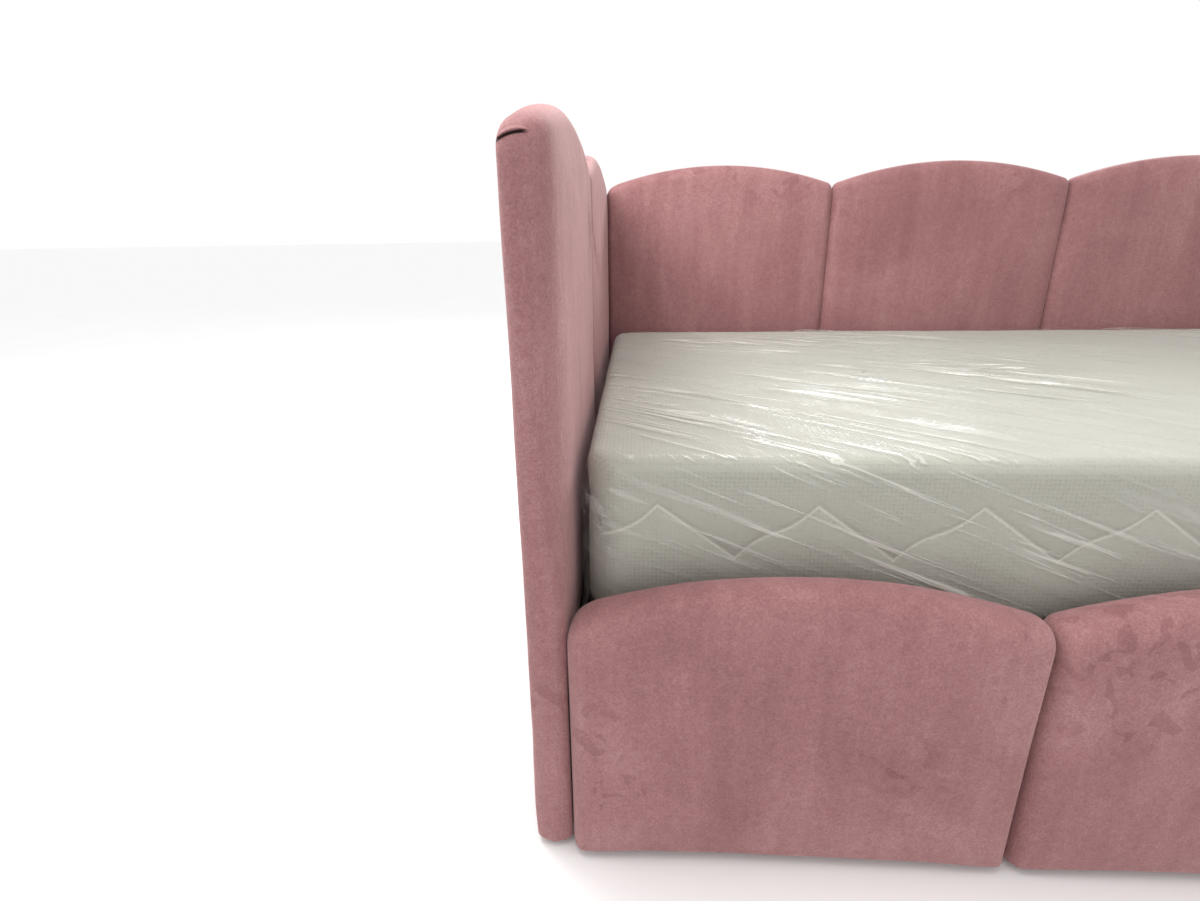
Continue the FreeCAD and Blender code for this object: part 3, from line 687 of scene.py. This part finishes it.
def tuck_lip(table, panel):
    """The folded lip of velvet over the slit near the top of the left panel's front edge."""
    tree = BVHTree.FromObject(panel, bpy.context.evaluated_depsgraph_get())
    steps = 24
    before_panel, straight_in = -0.7, (0, 1, 0)
    points = []
    for i in range(steps + 1):
        x = TUCK_ENDS[0] + (TUCK_ENDS[1] - TUCK_ENDS[0]) * i / steps
        z = TUCK_HEIGHT - TUCK_DROP * ((x - TUCK_ENDS[1]) / TUCK_REACH) ** 2 + TUCK_SLIT
        taper = math.sin(math.pi * min(1.0, (i + 1.5) / (steps + 2))) ** 0.5
        for rise, out in TUCK_PROFILE:
            start = Vector((x, before_panel, z + rise * taper))
            spot, normal, _, _ = tree.ray_cast(start, straight_in)
            points.append(spot + normal * out * taper)
    wide = len(TUCK_PROFILE)
    faces = [(i * wide + j, (i + 1) * wide + j, (i + 1) * wide + j + 1, i * wide + j + 1)
             for i in range(steps) for j in range(wide - 1)]
    lip = new_object("velvet_tuck", points, faces)
    lip.data.materials.append(table["velvet"])
    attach(lip, "root")


def pucker(piece):
    """Short dents that run into the seam on the left panel's inner face."""
    points = points_of(piece.data)
    normals = normals_of(piece.data)
    depth = np.zeros(len(points))
    for y, z, half, slope, deep in PUCKERS:
        angle = math.radians(slope)
        step_y, step_z = points[:, 1] - y, points[:, 2] - z
        along = step_y * math.cos(angle) + step_z * math.sin(angle)
        across = step_z * math.cos(angle) - step_y * math.sin(angle)
        depth += deep * np.exp(-(across / PUCKER_WIDTH) ** 2 - (along / half) ** 2)
    depth *= smooth_step(0.5, 0.9, normals[:, 0])
    set_points(piece.data, points - normals * depth[:, None])


def lobe_plan():
    """Each lobe's name and panel, and what make_lobe asks for after them."""
    low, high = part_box("box_left_board")
    end_board = (low[1], high[1])
    all_along = (-10.0, 10.0)
    foot = 0.006
    edge, end_face, tall_top, tall_corner = 0.010, 0.012, 0.021, 0.022
    front_end, front_top, front_corner = 0.015, 0.026, 0.032
    press = 0.0016              # leaves a hair's gap to the panel beside
    touch = 0.00012             # and to the lobe beside
    edge_roll = 0.046           # the end panels' padding rolls softly over their front edge
    no_roll = (0, 0)
    plan = []
    for index in range(1, 5):
        presses = (press if index == 1 else touch, press if index == 4 else touch)
        for panel, free_end, top, corner in (("back", end_face, tall_top, tall_corner),
                                             ("front", front_end, front_top, front_corner)):
            rims = (free_end if index == 1 else SEAM, free_end if index == 4 else SEAM)
            plan.append(("%s_lobe_%d" % (panel, index), panel, rims + (top, foot), all_along,
                         0.006, corner, no_roll, presses))
    for end in ("left", "right"):
        plan.append((end + "_lobe_front", end, (edge, SEAM, tall_top, foot), end_board, 0.005,
                     tall_corner, (edge_roll, 0), (0, touch)))
        plan.append((end + "_lobe_rear", end, (SEAM, end_face, tall_top, foot), end_board, 0.005,
                     tall_corner, no_roll, (touch, 0)))
    return plan


def make_lobes(table):
    sides = {"back": Side(0, -1), "front": Side(0, 1), "left": Side(1, 1), "right": Side(1, -1)}
    for number, (name, side, *shape) in enumerate(lobe_plan()):
        piece, fall, tucked = make_lobe(name, sides[side], *shape)
        roughen(piece, fall, tucked, SEED + number)
        subdivide(piece)
        if side == "left":
            pucker(piece)
        if name == "left_lobe_front":
            tuck_lip(table, piece)
        piece.data.materials.append(table["velvet"])
        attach(piece, "root")
        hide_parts(name)


# ---- mattress and film --------------------------------------------------------------------------

def ring(half_x, half_y, radius, inset, spacing=0.007, corner_points=12):
    """A rounded rectangle drawn in by `inset`, as points that match from ring to ring."""
    long_count = int((half_x - radius) * 2 / spacing)
    short_count = int((half_y - radius) / spacing)
    a, b = half_x - inset, half_y - inset
    sharpest = 0.001
    r = max(radius - inset, sharpest)
    quarter = np.linspace(0, math.pi / 2, corner_points, endpoint=False)
    parts = []

    def corner(sign_x, sign_y, start):
        angle = quarter + start
        parts.append(np.stack([sign_x * (a - r) + r * np.cos(angle),
                               sign_y * (b - r) + r * np.sin(angle)], 1))

    def line(first, last, count):
        step = np.linspace(0, 1, count, endpoint=False)[:, None]
        parts.append(np.array(first) + step * (np.array(last) - np.array(first)))

    line((a, 0), (a, b - r), short_count)
    corner(1, 1, 0)
    line((a - r, b), (-a + r, b), long_count)
    corner(-1, 1, math.pi / 2)
    line((-a, b - r), (-a, -b + r), short_count * 2)
    corner(-1, -1, math.pi)
    line((-a + r, -b), (a - r, -b), long_count)
    corner(1, -1, math.pi * 1.5)
    line((a, -b + r), (a, 0), short_count)
    return np.vstack(parts)


def wrapped_block(name, box, grow, closed, bottom_reach, step):
    """A block with rounded corners and edges, skinned by rings from below to the top's middle.

    grow: how far it stands off the box.  closed: whether a face fills its innermost bottom ring.
    bottom_reach: how far the rings reach in under the block.  step: spacing of the flat rings.
    """
    low, high = Vector(box[0]), Vector(box[1])
    half = (high - low) / 2
    centre = (high + low) / 2
    half_x, half_y = half.x + grow, half.y + grow
    z0, z1 = low.z - grow, high.z + grow
    plan, edge = MATTRESS_RADIUS + grow, MATTRESS_EDGE + grow
    side_step, side_end, middle_gap = 0.005, 0.002, 0.003
    angle = np.linspace(0, math.pi / 2, EDGE_STEPS)
    inward = np.arange(edge + step, half_y - middle_gap, step)
    profile = [(d, z0) for d in inward[inward < bottom_reach][::-1]]
    profile += [(edge - edge * math.sin(t), z0 + edge - edge * math.cos(t)) for t in angle]
    sides = np.arange(z0 + edge + side_step, z1 - edge - side_end, side_step)
    profile += [(0.0, z) for z in sides]
    profile += [(edge - edge * math.cos(t), z1 - edge + edge * math.sin(t)) for t in angle]
    profile += [(d, z1) for d in inward]
    points = []
    for inset, z in profile:
        loop = ring(half_x, half_y, plan, inset)
        points.append(np.column_stack([loop + (centre.x, centre.y), np.full(len(loop), z)]))
    count = len(points[0])
    faces = []
    for base in range(0, (len(profile) - 1) * count, count):
        for i in range(count):
            j = (i + 1) % count
            faces.append((base + i, base + j, base + count + j, base + count + i))
    ends = [(len(profile) - 1) * count] + ([0] if closed else [])
    for base in ends:
        for i in range(count // 2):
            quad = (base + i, base + i + 1, base + (count - i - 1) % count,
                    base + (count - i) % count)
            unique = tuple(dict.fromkeys(quad))
            if len(unique) > 2:
                faces.append(unique)
    return new_object(name, np.vstack(points), faces)


def quilt_line(along):
    """Height of the border's stitched zigzag: a bowed rise, then a straight fall."""
    share = (along - QUILT_START) / QUILT_PITCH % 1.0
    rise = share * 2 + QUILT_BOW * np.sin(share * 4 * math.pi)
    return QUILT_LOW + QUILT_RISE * np.where(share < 0.5, rise, 2 - share * 2)


def quilt(piece):
    """Pillows the border between its stitched lines, and the top between its quilting."""
    points = points_of(piece.data)
    normals = normals_of(piece.data)
    x, y, z = points.T
    along = np.where(np.abs(normals[:, 1]) > np.abs(normals[:, 0]), x, y)
    distance = np.abs(z - quilt_line(along)) * QUILT_SLOPE
    is_side = smooth_step(0.3, 0.8, np.hypot(normals[:, 0], normals[:, 1]))
    pillow, pillow_reach, stitch_depth = 0.0038, 0.017, 0.0030
    plump = pillow * (1 - np.exp(-distance / pillow_reach)) - stitch_depth
    groove_width, groove_depth, sag_depth = 0.010, 0.0008, 0.0010
    across = (x * 0.5 + y * 0.87) % TOP_QUILT - TOP_QUILT / 2
    counter = (x * 0.5 - y * 0.87) % TOP_QUILT - TOP_QUILT / 2
    top_lines = np.exp(-(across / groove_width) ** 2) + np.exp(-(counter / groove_width) ** 2)
    is_top = smooth_step(0.6, 0.95, normals[:, 2])
    sag = Waves(SEED + 90, 0.5)(points) * sag_depth
    lift = is_side * plump - is_top * (groove_depth * top_lines - sag)
    set_points(piece.data, points + normals * lift[:, None])


def fan_of_streaks(draw, centre, angles):
    """Creases that spread from one gathered point: start, direction, length, width, height, bend."""
    lines = []
    for _ in range(FAN_STREAKS):
        angle = math.radians(draw.uniform(*angles))
        start = draw.uniform(0.10, 0.75)
        length = draw.uniform(0.18, 0.55)
        direction = np.array([math.cos(angle), math.sin(angle)])
        lines.append((np.array(centre) + direction * start, direction, length,
                      draw.uniform(0.0045, 0.0085), draw.uniform(0.0012, 0.0036),
                      draw.uniform(-0.06, 0.06)))
    return lines


def side_streaks(draw, low, high):
    """Slanting creases on the film's sides, in the same form."""
    lines = []
    for _ in range(SIDE_STREAKS):
        angle = math.radians(draw.uniform(-28, -15))
        first = np.array([draw.uniform(low.x, high.x), draw.uniform(0.38, 0.50)])
        lines.append((first, np.array([math.cos(angle), math.sin(angle)]),
                      draw.uniform(0.12, 0.42), draw.uniform(0.0040, 0.0065),
                      draw.uniform(0.0010, 0.0024), draw.uniform(-0.04, 0.04)))
    return lines


def streak_height(flat, lines):
    """How far the film stands up over points given in the plane of the lines."""
    total = np.zeros(len(flat))
    for first, direction, length, width, height, bend in lines:
        step = flat - first
        along = step @ direction / length
        across = step @ np.array([-direction[1], direction[0]])
        across = across - bend * length * along * (1 - along)
        near = (along > 0) & (along < 1) & (np.abs(across) < width * 3.5)
        shape = np.sin(np.clip(along[near], 0, 1) * math.pi) ** 0.6
        total[near] += height * shape * np.exp(-(across[near] / width) ** 2)
    return np.minimum(total, STREAK_LIMIT)


def corner_ears(points, low, high):
    """How far the film, gathered at the upright corners, stands off in crumpled ears."""
    x, y, z = points.T
    reach = 0.045
    from_x = np.abs(np.abs(x) - (high.x - 0.03))
    from_y = np.minimum(np.abs(y - low.y - 0.02), np.abs(y - high.y + 0.02))
    near = np.exp(-(from_x / reach) ** 2) * np.exp(-(from_y / reach) ** 2)
    height = smooth_step(low.z - 0.002, low.z + 0.03, z) * (1 - smooth_step(
        high.z - 0.06, high.z - 0.01, z))
    crumple = Waves(SEED + 3, 0.040)(points * (1, 1, 0.55)) * 0.5 + 0.5
    crease = np.abs(Waves(SEED + 5, 0.026)(points * (1, 1, 0.7)))
    return near * height * (0.007 + 0.013 * np.clip(crumple, 0, 1) - 0.004 * crease)


def wrinkle_film(piece, box):
    """Raises the film's creases, its ears and the air left under it."""
    low, high = Vector(box[0]), Vector(box[1])
    points = points_of(piece.data)
    normals = normals_of(piece.data)
    x, y, z = points.T
    draw = np.random.default_rng(SEED)
    top_lines = []
    for centre, angles in STREAK_FANS:
        top_lines += fan_of_streaks(draw, centre, angles)
    side_lines = side_streaks(draw, low, high)
    is_top = smooth_step(0.5, 0.9, normals[:, 2])
    is_front = smooth_step(0.5, 0.9, -normals[:, 1])
    is_back = smooth_step(0.5, 0.9, normals[:, 1])
    is_end = smooth_step(0.5, 0.9, np.abs(normals[:, 0]))
    end_stretch, end_share = 1.9, 0.7
    lift = is_top * streak_height(points[:, :2], top_lines)
    lift += is_front * streak_height(points[:, [0, 2]], side_lines)
    lift += is_back * streak_height(np.column_stack([-x, z]), side_lines)
    ends = np.column_stack([y * end_stretch * np.sign(x), z])
    lift += end_share * is_end * streak_height(ends, side_lines)
    lift += corner_ears(points, low, high)
    air = 0.0007
    lift += Waves(SEED + 4, 0.16)(points) * air * is_top + air * is_top
    set_points(piece.data, points + normals * lift[:, None])


def make_mattress(table):
    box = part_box("mattress")
    whole_width = 10.0
    mattress = wrapped_block("quilted_mattress", box, 0.0, True, whole_width, 0.012)
    quilt(mattress)
    mattress.data.materials.append(table["mattress_knit"])
    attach(mattress, "platform")
    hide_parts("mattress")

    wrap = wrapped_block("packing_film", box, FILM_LIFT, False, FILM_UNDER, 0.006)
    wrinkle_film(wrap, box)
    wrap.data.materials.append(table["clear_film"])
    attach(wrap, "platform")
    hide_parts("mattress_film")


# ---- stage --------------------------------------------------------------------------------------

def make_camera():
    """Standing close in front of the left end, looking slightly down and along the mattress."""
    place = Vector((-0.941, -1.092, 0.721))
    left, down, tilt = 0.0646, 0.3341, -0.0165
    level = Vector((-math.sin(left), math.cos(left), 0))
    side = Vector((math.cos(left), math.sin(left), 0))
    up = Vector((0, 0, 1))
    ahead = level * math.cos(down) - up * math.sin(down)
    above = up * math.cos(down) + level * math.sin(down)
    right = side * math.cos(tilt) + above * math.sin(tilt)
    above = above * math.cos(tilt) - side * math.sin(tilt)
    camera = bpy.data.objects.new("camera", bpy.data.cameras.new("camera"))
    bpy.context.scene.collection.objects.link(camera)
    camera.matrix_world = Matrix((
        (right.x, above.x, -ahead.x, place.x),
        (right.y, above.y, -ahead.y, place.y),
        (right.z, above.z, -ahead.z, place.z),
        (0, 0, 0, 1)))
    camera.data.sensor_width = 36.0
    camera.data.lens = 19.25
    camera.data.clip_start = 0.02
    bpy.context.scene.camera = camera


def area_light(name, place, target, size, watts, colour=(1, 1, 1)):
    """A rectangular light at `place` that faces `target`."""
    data = bpy.data.lights.new(name, "AREA")
    data.shape = "RECTANGLE"
    data.size, data.size_y = size
    data.energy = watts
    data.color = colour
    light = bpy.data.objects.new(name, data)
    light.location = place
    light.rotation_euler = (Vector(target) - Vector(place)).to_track_quat("-Z", "Y").to_euler()
    bpy.context.scene.collection.objects.link(light)


def make_stage():
    """A pale floor under white surroundings, with a soft light above and a window behind."""
    reach = 40.0
    floor = new_object("floor", [(-reach, -reach, 0), (reach, -reach, 0), (reach, reach, 0),
                                 (-reach, reach, 0)], [(0, 1, 2, 3)])
    paint = Shader("pale_floor", roughness=0.8)
    tone = paint.noise(3, 2)
    paint.link(paint.mix(tone, srgb(246, 246, 246), srgb(250, 250, 250)), "Base Color")
    floor.data.materials.append(paint.material)

    world = bpy.data.worlds.new("studio")
    world.use_nodes = True
    sky = world.node_tree.nodes["Background"]
    sky.inputs["Color"].default_value = (1.0, 1.0, 1.0, 1)
    sky.inputs["Strength"].default_value = 1.0
    bpy.context.scene.world = world
    area_light("key", (-1.2, -0.6, 3.2), (-0.5, 0.2, 0.4), (1.8, 1.8), 24, (1.0, 0.98, 0.95))
    area_light("window", (0.3, 2.9, 2.2), (-0.5, -0.2, 0.48), (1.4, 0.9), 78, (0.97, 0.99, 1.0))
    area_light("fill", (-1.35, -0.25, 1.35), (-0.3, 0.48, 0.65), (0.6, 0.4), 9)
    bpy.context.scene.view_settings.view_transform = "Standard"


# ---- the whole picture --------------------------------------------------------------------------

make_camera()
make_stage()
materials = material_table()
dress_cad_nodes(materials)
make_lobes(materials)
make_mattress(materials)
